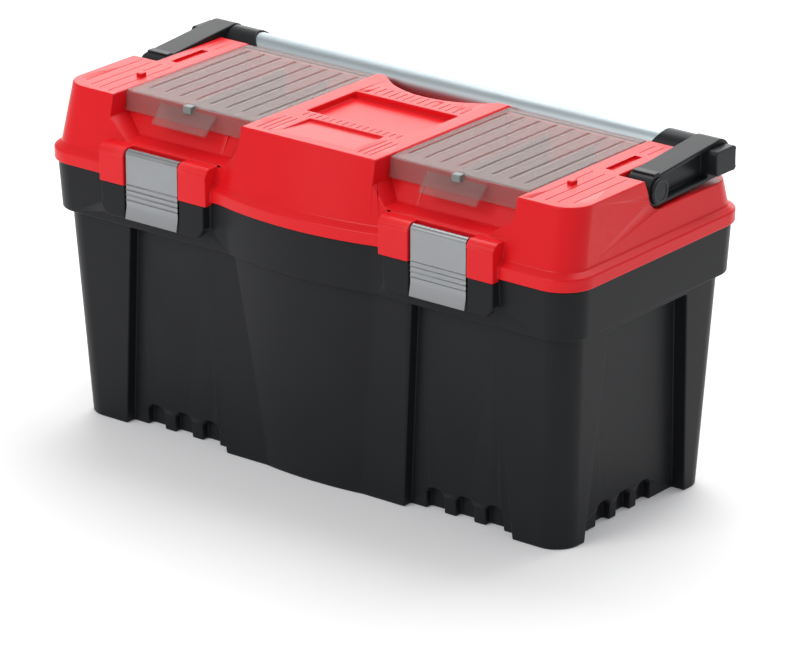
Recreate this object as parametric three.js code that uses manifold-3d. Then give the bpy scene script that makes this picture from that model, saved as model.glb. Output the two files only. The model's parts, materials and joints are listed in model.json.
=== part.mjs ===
// A large plastic toolbox: a drafted black base, a red hinged lid with two clear-lidded organizer bins,
// two over-centre latches, a fold-down carrying handle and a lift-out tray inside.
// Millimetres, +Z up, +X along the length, the front (latch side) faces -Y. The floor is z = 0.
import * as THREE from "three";
import { mergeVertices } from "three/addons/utils/BufferGeometryUtils.js";
import Module from "manifold-3d";

const wasm = await Module();
wasm.setup();

// ---- driving dimensions -------------------------------------------------------------------------------------
const GAP = 0.4; // clearance between pieces that touch or turn in one another
const WALL = 3; // moulded wall of the base and the lid
const DEEP = 400; // reach of a cutting block that runs right out of the object
const ARC_STEPS = 8; // segments of a rounded corner
const FINE_STEPS = 16; // segments of a half round
const PIN_SIDES = 24; // segments of a small pin or its hole
const SWELLING = { steps: 20, root: 30 }; // segments of the front's swelling and its depth into the wall

const LENGTH = 597; // over the lid's rim
const DEPTH = 264; // over the lid's rim, without its swelling and the latches
const BASE_HEIGHT = 247; // floor to the parting line
const LID_HEIGHT = 70; // parting line to the top of the lid's strips

const RIM = { radius: 32, height: 11.2, chamfer: 4.6, inset: 6.8, bulge: 11.5 };
const DECK = { stepX: 10.5, stepY: 20, radius: 25 }; // steps are measured in from the rim
const CENTRE = { halfX: 75, rise: 1.6, reach: 2.5, bulgeHalf: 88, thick: 5 };

const BAND = { height: 46.3, step: 3.5, radius: 28, draft: 0.05 };
const BODY = { stepX: 9.7, stepY: 10.3, radius: 24, draftX: 0.054, draftY: 0.05 }; // steps in from the band
const BODY_BULGE = { floor: 4, top: 10.4, halfFloor: 55, halfTop: 82, spread: 2 };
const FLOOR = 3.5; // thickness of the base's floor

// The recessed panels: how far their slanting ends stand from the centre or in from the corners.
const PANEL = { depth: 10.6, drop: 3.7, innerTop: 117.6, innerFloor: 101.6, cornerTop: 81.6, cornerFloor: 64.5 };
const END_PANEL = { depth: 13.5, drop: 7.7, cornerTop: 60.6, cornerFloor: 43.6 };
const NOTCH = { width: 19.5, height: 21, depth: 7, round: 5.9 };
const SIDE_NOTCHES = { pitch: 32.5, margin: 8 };
const END_NOTCHES = { pitch: 30, margin: 22 };

const LATCH = { width: 60, offset: 10.25, recess: 2, rollR: 4.6, sheet: 1.6, topDrop: 0.6, footRise: 0.9 };
const LATCH_FLARE = { out: 2.2, height: 11 }; // the lower edge leans out for a fingertip
const LATCH_RIDGE = { drop: 1, pitch: 4.8, count: 4, radius: 0.8, sides: 10 };
const LATCH_HOOK = { halfX: 20, drop: 13.4, height: 4, gap: 0.5, reach: 2.2 };
const LATCH_PIN = { radius: 1.5, bearing: 6 };
const LATCH_SLOT = { side: 1.7, lidDepth: 15, baseLand: 1.1 };
const PAD = { innerMargin: 34, outerMargin: 30, reach: 7, lip: 2.6, topDrop: 38, round: 8, root: 11 };
const BASE_PAD = { innerMargin: 30, outerMargin: 29, recess: 1.4, height: 34, round: 10 };

const HINGE = { offset: 4, radius: 5.5, knuckle: 26, pinR: 2, root: 14, lap: 1 };

const BIN = { inner: 75.3, strip: 61.8, front: 21, rearLand: 6.8, depth: 43, side: 4, bottom: 2.4 };
const DIVIDER = { count: 2, thick: 1.6, drop: 12 };
const SHELF = { reach: 11, rise: 2, slantDrop: 20, innerInset: 16.7, outerInset: 26.2, foot: 6, room: 12 };
const LID_PLATE = { thick: 2.4, edge: 0.9, skirt: 18.7, skirtThick: 2.2, skirtGap: 1, rake: 2.5 };
const LID_AXLE = { rear: 1.3, barrelR: 2.6, pinR: 1.1, seat: 2 };
const TAB = { topHalf: 32.5, bottomHalf: 30.5, reach: 20, drop: 19, topDrop: 2.4, thick: 2.2 };
const CATCH = { width: 9, height: 7, reach: 8.4 };

const TUBE = { inset: 12, radius: 14, wall: 1.6, endCover: 4 };
const REAR_SHELF = { drop: 30, land: 7 }; // where the tube lies behind the deck
const SCALLOP = { halfX: 58, depth: 22, step: 6 }; // finger room in front of the tube
const POCKET = { halfX: 57.6, frontY: -43.5, behind: 25.7, depth: 6 };
const FRONT_POCKET = { halfX: 41, margin: 12.5, rearY: -60, depth: 2.4 };

const PIVOT = { y: 8, drop: 14.5, pinR: 4, discR: 12, disc: 2.6, shank: 11 };
const ARM = { inset: 37.5, width: 26, radius: 14.2, wallRound: 2.7, channel: 8, rib: 4, clear: 4.3, capWall: 2 };
const ARM_ROOM = { side: 0.8, under: 2.6, slope: 23, shoulder: 5 };
const COLLAR = { length: 52, slant: 22, wall: 1.3, gap: 0.3 };
const CAP = { inset: 0.9, front: 19.5, rear: 10, below: 10.9, above: 11.7, round: 4 };

const TRAY = { clear: 3.1, tubClear: 4.3, rim: 3, tubR: 16, depth: 52, wall: 2.2, taper: 4, cornerStep: 6 };
const TRAY_GRIP = { halfX: 62, below: 6, thick: 14, bar: 10, post: 12, round: 8, hole: 30 };
const TRAY_WALLS = { crossX: 88, drop: 2, dividers: 2, end: 5 };

const COLOURS = { black: 0x2b2c2f, red: 0xe0222b, clear: 0xa08f8e, metal: 0xa3a6a8, alu: 0xcbd6da, tray: 0x3a3b3e };
const FINISH = {
  black: new THREE.MeshStandardMaterial({ color: COLOURS.black, roughness: 0.42, metalness: 0 }),
  red: new THREE.MeshStandardMaterial({ color: COLOURS.red, roughness: 0.38, metalness: 0 }),
  clear: new THREE.MeshStandardMaterial({ color: COLOURS.clear, roughness: 0.15, metalness: 0 }),
  metal: new THREE.MeshStandardMaterial({ color: COLOURS.metal, roughness: 0.35, metalness: 1 }),
  alu: new THREE.MeshStandardMaterial({ color: COLOURS.alu, roughness: 0.3, metalness: 1 }),
  tray: new THREE.MeshStandardMaterial({ color: COLOURS.tray, roughness: 0.5, metalness: 0 }),
};

// ---- derived values -----------------------------------------------------------------------------------------
const deckZ = BASE_HEIGHT + LID_HEIGHT;
const lidZ = BASE_HEIGHT + GAP; // underside of the lid's rim
const rimTopZ = lidZ + RIM.height;
const wallFootZ = rimTopZ + RIM.chamfer;
const bandZ = BASE_HEIGHT - BAND.height; // foot of the base's upper band

const rimHalf = { x: LENGTH / 2, y: DEPTH / 2, r: RIM.radius };
const footHalf = grown(rimHalf, -RIM.inset);
const deckTopHalf = { x: rimHalf.x - DECK.stepX, y: rimHalf.y - DECK.stepY, r: DECK.radius };
const centreTopZ = deckZ + CENTRE.rise;
const centreFrontY = deckTopHalf.y + CENTRE.reach;

const bin = {
  inner: BIN.inner,
  outer: deckTopHalf.x - BIN.strip,
  frontY: deckTopHalf.y - BIN.front,
  floorZ: deckZ - BIN.depth,
};
const binX = (bin.inner + bin.outer) / 2;
const latchX = binX + LATCH.offset;
const latchHalf = LATCH.width / 2;
const padFrontY = rimHalf.y + PAD.reach;
const padTopZ = deckZ - PAD.topDrop;
const padFootZ = BASE_HEIGHT - PAD.lip;
const basePadFrontY = padFrontY - BASE_PAD.recess;
const basePadZ = BASE_HEIGHT - BASE_PAD.height;
const latch = { faceY: padFrontY - LATCH.recess, topZ: padTopZ - LATCH.topDrop, footZ: basePadZ + LATCH.footRise };
const latchAxis = { y: -(latch.faceY - LATCH.rollR), z: latch.topZ - LATCH.rollR };
const hookTopZ = BASE_HEIGHT - LATCH_HOOK.drop;
const slotBack = { lidY: padFrontY - LATCH_SLOT.lidDepth, baseY: rimHalf.y - BAND.step + LATCH_SLOT.baseLand };
const hingeX = latchX + HINGE.offset;
const hingeY = rimHalf.y + RIM.bulge - HINGE.radius; // the hinges reach as far back as the front's bulge
const shelf = {
  inner: bin.inner + SHELF.innerInset,
  outer: bin.outer - SHELF.outerInset,
  backY: bin.frontY + SHELF.reach,
  z: padTopZ + SHELF.rise,
  slantZ: deckZ - SHELF.slantDrop,
};

const armRear = TUBE.radius + ARM.wallRound; // radius of the arm round the tube
const arm = { innerX: rimHalf.x - ARM.inset, outerX: rimHalf.x - ARM.inset + ARM.width };
const rearShelfZ = deckZ - REAR_SHELF.drop;
const tube = { y: deckTopHalf.y - TUBE.inset, z: rearShelfZ + ARM.clear + armRear, halfX: arm.outerX - TUBE.endCover };
const rearShelfY = tube.y - TUBE.radius - REAR_SHELF.land;
const pivotZ = deckZ - PIVOT.drop;
const scallopY = rearShelfY - SCALLOP.step;
const pocketRearY = scallopY - SCALLOP.depth - POCKET.behind;
bin.rearY = rearShelfY - BIN.rearLand;

const plateTopZ = deckZ + GAP;
const windowAxis = { y: rearShelfY - LID_AXLE.rear - LID_AXLE.barrelR, z: plateTopZ - LID_AXLE.barrelR };
const ledgeZ = plateTopZ - LID_PLATE.thick - GAP;
const skirtY = bin.frontY + LID_PLATE.skirtGap; // inner face of the skirt
const skirtOuterY = skirtY + LID_PLATE.skirtThick;
const tabEnd = { reachY: bin.frontY + TAB.reach, bottomZ: deckZ - TAB.drop, topZ: deckZ - TAB.topDrop };

const stepZ = bandZ + WALL; // the step inside the base that the tray rests on
const trayZ = stepZ + GAP;
const trayFloorZ = trayZ + TRAY.rim - TRAY.depth;

// ---- solids -------------------------------------------------------------------------------------------------
function solid(geometry) {
  const bare = geometry.clone();
  bare.deleteAttribute("normal");
  bare.deleteAttribute("uv");
  const merged = mergeVertices(bare, 1e-4);
  return new wasm.Manifold(
    new wasm.Mesh({ numProp: 3, vertProperties: merged.attributes.position.array, triVerts: merged.index.array }),
  );
}

function union(...parts) {
  return parts.reduce((whole, next) => whole.add(next));
}

function without(whole, ...cuts) {
  return cuts.reduce((rest, cut) => rest.subtract(cut), whole);
}

function mesh(name, body, finish) {
  const made = body.getMesh();
  const geometry = new THREE.BufferGeometry();
  geometry.setAttribute("position", new THREE.BufferAttribute(made.vertProperties, 3));
  geometry.setIndex(new THREE.BufferAttribute(made.triVerts, 1));
  geometry.computeVertexNormals();
  const piece = new THREE.Mesh(geometry, finish);
  piece.name = name;
  return piece;
}

// Moves every vertex of a geometry with a function that edits a vector in place.
function reshape(geometry, move) {
  const position = geometry.attributes.position;
  const point = new THREE.Vector3();
  for (let i = 0; i < position.count; i += 1) {
    point.fromBufferAttribute(position, i);
    move(point);
    position.setXYZ(i, point.x, point.y, point.z);
  }
  return geometry;
}

function block(x0, x1, y0, y1, z0, z1) {
  const geometry = new THREE.BoxGeometry(x1 - x0, y1 - y0, z1 - z0);
  return solid(geometry.translate((x0 + x1) / 2, (y0 + y1) / 2, (z0 + z1) / 2));
}

function polygon(points) {
  return new THREE.Shape(points.map(([a, b]) => new THREE.Vector2(a, b)));
}

function extrude(shape, depth, steps = ARC_STEPS) {
  return new THREE.ExtrudeGeometry(shape, { depth, bevelEnabled: false, curveSegments: steps });
}

// A shape drawn in y and z, run along X.
function alongX(shape, x0, x1, steps) {
  const geometry = extrude(shape, x1 - x0, steps);
  return solid(reshape(geometry, (p) => p.set(p.z + x0, p.x, p.y)));
}

// A shape drawn in x and z, run along Y.
function alongY(shape, y0, y1, steps) {
  const geometry = extrude(shape, y1 - y0, steps);
  return solid(reshape(geometry, (p) => p.set(p.x, y1 - p.z, p.y)));
}

function alongZ(shape, z0, z1, steps) {
  return solid(extrude(shape, z1 - z0, steps).translate(0, 0, z0));
}

function rodX(radius, x0, x1, y, z, sides = 32) {
  const geometry = new THREE.CylinderGeometry(radius, radius, x1 - x0, sides);
  return solid(geometry.rotateZ(Math.PI / 2).translate((x0 + x1) / 2, y, z));
}

function rodZ(radius, x, y, z0, z1, sides = 96) {
  const geometry = new THREE.CylinderGeometry(radius, radius, z1 - z0, sides);
  return solid(geometry.rotateX(Math.PI / 2).translate(x, y, (z0 + z1) / 2));
}

function roundedRect(x0, x1, y0, y1, r) {
  const shape = new THREE.Shape();
  shape.absarc(x1 - r, y0 + r, r, -Math.PI / 2, 0);
  shape.absarc(x1 - r, y1 - r, r, 0, Math.PI / 2);
  shape.absarc(x0 + r, y1 - r, r, Math.PI / 2, Math.PI);
  shape.absarc(x0 + r, y0 + r, r, Math.PI, Math.PI * 1.5);
  return shape;
}

// A rounded rectangular block that runs up through levels of a height, half sizes and a corner radius.
function lofted(levels) {
  const count = levels.length - 1;
  const { x, y, r } = levels[count].half;
  const settings = { depth: count, steps: count, bevelEnabled: false, curveSegments: ARC_STEPS };
  const geometry = new THREE.ExtrudeGeometry(roundedRect(-x, x, -y, y, r), settings);
  return solid(
    reshape(geometry, (p) => {
      const { z, half } = levels[Math.round(p.z)];
      const place = (value, full, here) => {
        const pastCorner = Math.abs(value) - (full - r);
        return Math.sign(value) * (here - half.r + (pastCorner * half.r) / r);
      };
      p.set(place(p.x, x, half.x), place(p.y, y, half.y), z);
    }),
  );
}

function drafted(z0, z1, bottom, top) {
  return lofted([{ z: z0, half: bottom }, { z: z1, half: top }]);
}

// The swelling of the front: a shallow arch in plan on a face that may lean, up through levels.
function swelling(levels) {
  const arch = [];
  for (let i = 0; i <= SWELLING.steps; i += 1) {
    const s = -1 + (2 * i) / SWELLING.steps;
    arch.push([s, s * s - 1]);
  }
  const count = levels.length - 1;
  const settings = { depth: count, steps: count, bevelEnabled: false };
  const geometry = new THREE.ExtrudeGeometry(polygon([...arch, [1, 1], [-1, 1]]), settings);
  return solid(
    reshape(geometry, (p) => {
      const { z, face, bulge, half } = levels[Math.round(p.z)];
      const out = p.y > 0 ? -SWELLING.root : bulge * -p.y;
      p.set(p.x * half, -(face + out), z);
    }),
  );
}

function mirrored(body) {
  return body.mirror([1, 0, 0]);
}

function bothSides(body) {
  return body.add(mirrored(body));
}

// ---- base ---------------------------------------------------------------------------------------------------
function bodyHalf(z) {
  const drop = bandZ - z;
  const stepX = BAND.step + BODY.stepX;
  const stepY = BAND.step + BODY.stepY;
  return { x: rimHalf.x - stepX - drop * BODY.draftX, y: rimHalf.y - stepY - drop * BODY.draftY, r: BODY.radius };
}

function bandHalf(z) {
  const inward = BAND.step + (BASE_HEIGHT - z) * BAND.draft;
  return { x: rimHalf.x - inward, y: rimHalf.y - inward, r: BAND.radius };
}

function grown(size, by) {
  return { x: size.x + by, y: size.y + by, r: size.r + by };
}

// A recessed panel's block: its sides lean between their places at the top and at the floor.
function panelOutline(low, high, topZ, grow) {
  return polygon([
    [low.floor - grow, -1],
    [high.floor + grow, -1],
    [high.top + grow, topZ + grow],
    [low.top - grow, topZ + grow],
  ]);
}

// The block of a recessed panel on the right rear side; grow adds a wall for the inside.
function sidePanel(grow) {
  const corner = bodyHalf(bandZ).x;
  const low = { top: PANEL.innerTop, floor: PANEL.innerFloor };
  const high = { top: corner - PANEL.cornerTop, floor: corner - PANEL.cornerFloor };
  const outline = panelOutline(low, high, bandZ - PANEL.drop, grow);
  const faceY = (z) => bodyHalf(z).y - PANEL.depth - grow;
  return solid(reshape(extrude(outline, 1), (p) => p.set(p.x, p.z < 0.5 ? DEEP : faceY(p.y), p.y)));
}

function endPanelFloor() {
  return bodyHalf(bandZ).y - END_PANEL.cornerFloor;
}

function endPanel(grow) {
  const top = bodyHalf(bandZ).y - END_PANEL.cornerTop;
  const floor = endPanelFloor();
  const outline = panelOutline({ top: -top, floor: -floor }, { top, floor }, bandZ - END_PANEL.drop, grow);
  const faceX = (z) => bodyHalf(z).x - END_PANEL.depth - grow;
  return solid(reshape(extrude(outline, 1), (p) => p.set(faceX(p.y) + p.z * DEEP, p.x, p.y)));
}

function fourWays(body) {
  const pair = bothSides(body);
  return pair.add(pair.mirror([0, 1, 0]));
}

function archShape(centre) {
  const half = NOTCH.width / 2;
  const shape = new THREE.Shape();
  shape.moveTo(centre - half, -1);
  shape.lineTo(centre + half, -1);
  shape.absarc(centre + half - NOTCH.round, NOTCH.height - NOTCH.round, NOTCH.round, 0, Math.PI / 2);
  shape.absarc(centre - half + NOTCH.round, NOTCH.height - NOTCH.round, NOTCH.round, Math.PI / 2, Math.PI);
  return shape;
}

// Centres of as many notches as fit between two places.
function notchPlaces(low, high, { pitch, margin }) {
  const count = 1 + Math.floor((high - low - NOTCH.width - 2 * margin) / pitch);
  return Array.from({ length: count }, (_, i) => (low + high) / 2 + (i - (count - 1) / 2) * pitch);
}

// The row of open pockets along the bottom edge of every recessed panel.
function sideNotches() {
  const places = notchPlaces(PANEL.innerFloor, bodyHalf(bandZ).x - PANEL.cornerFloor, SIDE_NOTCHES);
  const faceY = bodyHalf(0).y - PANEL.depth;
  const cuts = places.map((x) => alongY(archShape(x), faceY - NOTCH.depth, faceY + NOTCH.height));
  return fourWays(union(...cuts));
}

function endNotches() {
  const places = notchPlaces(-endPanelFloor(), endPanelFloor(), END_NOTCHES);
  const faceX = bodyHalf(0).x - END_PANEL.depth;
  const cuts = places.map((y) => alongX(archShape(y), faceX - NOTCH.depth, faceX + NOTCH.height));
  return bothSides(union(...cuts));
}

function baseOuter() {
  const lower = drafted(0, bandZ + 1, bodyHalf(0), bodyHalf(bandZ + 1));
  const band = drafted(bandZ, BASE_HEIGHT, bandHalf(bandZ), bandHalf(BASE_HEIGHT));
  const { floor, top, halfFloor, halfTop, spread } = BODY_BULGE;
  const lowerSwelling = swelling([
    { z: 0, face: bodyHalf(0).y, bulge: floor, half: halfFloor },
    { z: bandZ + 1, face: bodyHalf(bandZ).y, bulge: top, half: halfTop },
  ]);
  const bandSwelling = swelling([
    { z: bandZ, face: bandHalf(bandZ).y, bulge: top, half: halfTop + spread },
    { z: BASE_HEIGHT, face: bandHalf(BASE_HEIGHT).y, bulge: RIM.bulge, half: CENTRE.bulgeHalf },
  ]);
  return union(without(lower.add(lowerSwelling), fourWays(sidePanel(0)), bothSides(endPanel(0))), band, bandSwelling);
}

function basePad() {
  const topZ = padFootZ - GAP;
  const inner = latchX - latchHalf - BASE_PAD.innerMargin;
  const outer = latchX + latchHalf + BASE_PAD.outerMargin;
  const shape = new THREE.Shape();
  shape.moveTo(outer, topZ);
  shape.lineTo(inner, topZ);
  shape.absarc(
    inner + BASE_PAD.round, basePadZ + BASE_PAD.round, BASE_PAD.round, Math.PI, Math.PI * 1.5);
  shape.absarc(
    outer - BASE_PAD.round, basePadZ + BASE_PAD.round, BASE_PAD.round, -Math.PI / 2, 0);
  return alongY(shape, -basePadFrontY, -bandHalf(bandZ).y + WALL);
}

function latchSlot(backY, bottomZ, topZ) {
  const half = latchHalf + LATCH_SLOT.side;
  return block(latchX - half, latchX + half, -DEEP, -backY, bottomZ, topZ);
}

// The ledge in the base's slot that a latch's hook sits under.
function keeper() {
  const bottomZ = hookTopZ + GAP;
  const frontY = latch.faceY - LATCH.sheet - LATCH_HOOK.reach - LATCH_HOOK.gap;
  return block(
    latchX - LATCH_HOOK.halfX, latchX + LATCH_HOOK.halfX,
    -frontY, -slotBack.baseY + 1, bottomZ, bottomZ + LATCH_HOOK.height);
}

// Everything inside the base: the drafted hollow, less the backs of the recessed panels and pockets.
function baseHollow() {
  const low = drafted(
    FLOOR, bandZ + WALL, grown(bodyHalf(FLOOR), -WALL), grown(bodyHalf(bandZ + WALL), -WALL));
  const high = drafted(
    stepZ, BASE_HEIGHT + 1, grown(bandHalf(stepZ), -WALL), grown(bandHalf(BASE_HEIGHT + 1), -WALL));
  const kickZ = NOTCH.height + WALL;
  const kickY = bodyHalf(0).y - PANEL.depth - NOTCH.depth - WALL;
  const kickX = bodyHalf(0).x - END_PANEL.depth - NOTCH.depth - WALL;
  const kick = union(
    fourWays(block(PANEL.innerFloor, bodyHalf(bandZ).x - PANEL.cornerFloor, kickY, DEEP, -1, kickZ)),
    bothSides(block(kickX, DEEP, -endPanelFloor(), endPanelFloor(), -1, kickZ)),
  );
  return without(low, fourWays(sidePanel(WALL)), bothSides(endPanel(WALL)), kick).add(high);
}

function knuckle(x0, x1, reachZ) {
  const arm = polygon([
    [bandHalf(BASE_HEIGHT).y - WALL / 2, reachZ],
    [hingeY, BASE_HEIGHT + Math.sign(reachZ - BASE_HEIGHT) * HINGE.radius],
    [hingeY, BASE_HEIGHT],
    [bandHalf(BASE_HEIGHT).y - WALL / 2, BASE_HEIGHT],
  ]);
  const plate = alongX(arm, x0, x1);
  return plate.add(rodX(HINGE.radius, x0, x1, hingeY, BASE_HEIGHT));
}

function hingePart(offsets, reachZ) {
  const half = (HINGE.knuckle - GAP) / 2;
  const parts = offsets.map((offset) => {
    const x = hingeX + offset * HINGE.knuckle;
    return knuckle(x - half, x + half, reachZ);
  });
  return bothSides(union(...parts));
}

// A rod on the hinge line, as long as one hinge's three knuckles.
function hingeRod(radius) {
  const reach = (HINGE.knuckle * 3) / 2;
  return rodX(radius, hingeX - reach, hingeX + reach, hingeY, BASE_HEIGHT, PIN_SIDES);
}

function hingeBores() {
  return bothSides(hingeRod(HINGE.pinR + GAP / 2));
}

// The room that the other half's knuckles sweep, cut from a rim.
function hingeRoom(offsets) {
  const half = (HINGE.knuckle + GAP) / 2;
  const rooms = offsets.map((offset) => {
    const x = hingeX + offset * HINGE.knuckle;
    return rodX(HINGE.radius + GAP, x - half, x + half, hingeY, BASE_HEIGHT);
  });
  return bothSides(union(...rooms));
}

// The room in front of the rim where the lip of a lid pad hangs.
function lipRoom() {
  return block(
    latchX - latchHalf - PAD.innerMargin - GAP, latchX + latchHalf + PAD.outerMargin + GAP,
    -DEEP, -bandHalf(BASE_HEIGHT).y - GAP / 2, padFootZ - GAP / 2, DEEP);
}

function baseTub() {
  const slots = bothSides(latchSlot(slotBack.baseY, basePadZ - 1, BASE_HEIGHT + 1));
  const inner = baseHollow();
  const front = union(without(bothSides(basePad()), slots), bothSides(keeper()));
  const shell = without(baseOuter(), inner, sideNotches(), endNotches(), hingeRoom([0]));
  const knuckles = without(hingePart([-1, 1], BASE_HEIGHT - HINGE.root), inner);
  return without(shell.add(without(front, inner)).add(knuckles), hingeBores(), bothSides(lipRoom()));
}

// ---- lid ----------------------------------------------------------------------------------------------------
function lidOuter() {
  const shell = lofted([
    { z: lidZ, half: rimHalf },
    { z: rimTopZ, half: rimHalf },
    { z: wallFootZ, half: footHalf },
    { z: deckZ, half: deckTopHalf },
  ]);
  const bulge = { bulge: RIM.bulge, half: CENTRE.bulgeHalf };
  const centre = swelling([
    { z: lidZ, face: rimHalf.y, ...bulge },
    { z: rimTopZ, face: rimHalf.y, ...bulge },
    { z: wallFootZ, face: footHalf.y, ...bulge },
    { z: centreTopZ, face: centreFrontY, bulge: 0, half: CENTRE.halfX },
  ]);
  const deck = block(
    -CENTRE.halfX, CENTRE.halfX, -centreFrontY + 1, rearShelfY, deckZ - CENTRE.thick, centreTopZ);
  return union(shell, centre, deck, bothSides(lidPad()));
}

// The raised pad round a latch, with its top edge rounded over.
function lidPad() {
  const backY = -footHalf.y + PAD.root;
  const lipY = -bandHalf(BASE_HEIGHT).y - GAP; // the pad's lip hangs in front of the base's rim
  const profile = new THREE.Shape();
  profile.moveTo(-padFrontY, padFootZ);
  profile.lineTo(lipY, padFootZ);
  profile.lineTo(lipY, lidZ);
  profile.lineTo(backY, lidZ);
  profile.lineTo(backY, padTopZ);
  profile.absarc(-padFrontY + PAD.round, padTopZ - PAD.round, PAD.round, Math.PI / 2, Math.PI);
  return alongX(profile, latchX - latchHalf - PAD.innerMargin, latchX + latchHalf + PAD.outerMargin);
}

// The hollow in front of an organizer lid: a steep wall, then a shelf that runs out over the pad.
function shelfCut() {
  const profile = polygon([
    [-DEEP, padTopZ - SHELF.foot],
    [-padFrontY, padTopZ],
    [-shelf.backY, shelf.z],
    [-bin.frontY, shelf.slantZ],
    [-bin.frontY, DEEP],
    [-DEEP, DEEP],
  ]);
  const ends = polygon([
    [shelf.inner, padTopZ - SHELF.foot],
    [shelf.outer, padTopZ - SHELF.foot],
    [shelf.outer, padTopZ],
    [bin.outer, shelf.slantZ],
    [bin.outer, DEEP],
    [bin.inner, DEEP],
    [bin.inner, shelf.slantZ],
    [shelf.inner, padTopZ],
  ]);
  return alongX(profile, 0, DEEP).intersect(alongY(ends, -DEEP, 0));
}

// The bin under an organizer lid, with a ledge all round that the clear plate rests on.
function binCut() {
  const { side, bottom } = BIN;
  const hollow = block(
    bin.inner + side, bin.outer - side, -bin.frontY + bottom, bin.rearY - side, bin.floorZ, DEEP);
  const well = block(bin.inner, bin.outer, -bin.frontY - 1, rearShelfY + 1, ledgeZ, DEEP);
  const barrel = rodX(LID_AXLE.barrelR + GAP, bin.inner, bin.outer, windowAxis.y, windowAxis.z);
  return union(hollow, well, barrel, lidAxle(LID_AXLE.pinR + GAP / 2, LID_AXLE.seat));
}

// A rod on an organizer lid's hinge line that runs a little way into the deck at both ends.
function lidAxle(radius, seat) {
  return rodX(radius, bin.inner - seat, bin.outer + seat, windowAxis.y, windowAxis.z, PIN_SIDES);
}

function binBody() {
  return block(
    bin.inner - WALL, bin.outer + WALL, -bin.frontY - WALL, bin.rearY + WALL, bin.floorZ - BIN.bottom, DEEP);
}

// The room for the handle arm: cut through the end wall, with a rounded front corner under the hub.
function armRoom(grow) {
  const floorZ = rearShelfZ - grow;
  const r = ARM.radius + ARM_ROOM.under + grow;
  const shape = new THREE.Shape();
  shape.moveTo(PIVOT.y, DEEP);
  shape.lineTo(PIVOT.y - ARM_ROOM.slope - grow, deckZ + ARM_ROOM.shoulder);
  shape.lineTo(PIVOT.y - r, pivotZ + ARM_ROOM.shoulder);
  shape.absarc(PIVOT.y, floorZ + r, r, Math.PI, Math.PI * 1.5);
  shape.lineTo(DEEP, floorZ);
  shape.lineTo(DEEP, DEEP);
  return alongX(shape, arm.innerX - ARM_ROOM.side - grow, DEEP, FINE_STEPS);
}

function scallop(grow) {
  const r = (SCALLOP.halfX ** 2 + SCALLOP.depth ** 2) / (2 * SCALLOP.depth);
  return rodZ(r + grow, 0, scallopY - SCALLOP.depth + r, rearShelfZ - grow, DEEP);
}

function lidHollow() {
  const main = drafted(BASE_HEIGHT - 1, deckZ - WALL, grown(footHalf, -WALL), grown(deckTopHalf, -WALL));
  const pocketRoom = block(
    -POCKET.halfX - WALL, POCKET.halfX + WALL, POCKET.frontY - WALL, pocketRearY + WALL,
    centreTopZ - POCKET.depth - WALL, DEEP);
  const frontRoom = block(
    bin.inner - WALL, bin.outer + WALL, -DEEP, -shelf.backY + SHELF.room, padTopZ - SHELF.foot, DEEP);
  return without(
    main,
    bothSides(binBody()),
    bothSides(frontRoom),
    block(-DEEP, DEEP, rearShelfY - WALL, DEEP, rearShelfZ - WALL, DEEP),
    bothSides(armRoom(WALL)),
    scallop(WALL),
    pocketRoom,
  );
}

function centrePockets() {
  const main = block(
    -POCKET.halfX, POCKET.halfX, POCKET.frontY, pocketRearY, centreTopZ - POCKET.depth, DEEP);
  const frontY = FRONT_POCKET.margin - centreFrontY;
  const wedge = polygon([
    [frontY, centreTopZ],
    [FRONT_POCKET.rearY, centreTopZ - FRONT_POCKET.depth],
    [FRONT_POCKET.rearY, DEEP],
    [frontY, DEEP],
  ]);
  return main.add(alongX(wedge, -FRONT_POCKET.halfX, FRONT_POCKET.halfX));
}

function lidShell() {
  const latchPinHole = latchRod(LATCH_PIN.radius + GAP / 2, LATCH_PIN.bearing);
  const pivotHole = rodX(
    PIVOT.pinR + GAP, arm.innerX - PIVOT.shank - 1, arm.innerX + 1, PIVOT.y, pivotZ, PIN_SIDES);
  const shell = without(
    lidOuter(),
    lidHollow(),
    block(-DEEP, DEEP, rearShelfY, DEEP, rearShelfZ, DEEP),
    bothSides(union(shelfCut(), binCut(), armRoom(0), latchSlot(slotBack.lidY, 0, DEEP), latchPinHole, pivotHole)),
    scallop(0),
    centrePockets(),
    hingeRoom([-1, 1]),
  );
  const inside = block(-DEEP, DEEP, -DEEP, rimHalf.y - HINGE.lap, 0, DEEP);
  const knuckles = hingePart([0], BASE_HEIGHT + HINGE.root).subtract(inside);
  return without(shell.add(knuckles), hingeBores());
}

function binDividers(sideName, turn) {
  const pitch = (bin.outer - bin.inner) / (DIVIDER.count + 1);
  const pieces = [];
  for (let i = 1; i <= DIVIDER.count; i += 1) {
    const x = bin.inner + i * pitch;
    const plate = block(
      x - DIVIDER.thick / 2, x + DIVIDER.thick / 2, -bin.frontY + BIN.bottom + GAP, bin.rearY - BIN.side - GAP,
      bin.floorZ + GAP, deckZ - DIVIDER.drop);
    pieces.push(mesh(`bin_divider_${sideName}_${i}`, turn(plate), FINISH.tray));
  }
  return pieces;
}

// ---- organizer lids -----------------------------------------------------------------------------------------
function catchBlock(grow) {
  const half = CATCH.width / 2 + grow;
  return block(
    binX - half, binX + half, -bin.frontY - CATCH.reach - grow, -skirtY + grow - GAP / 2,
    plateTopZ - CATCH.height - grow, plateTopZ + grow);
}

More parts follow.
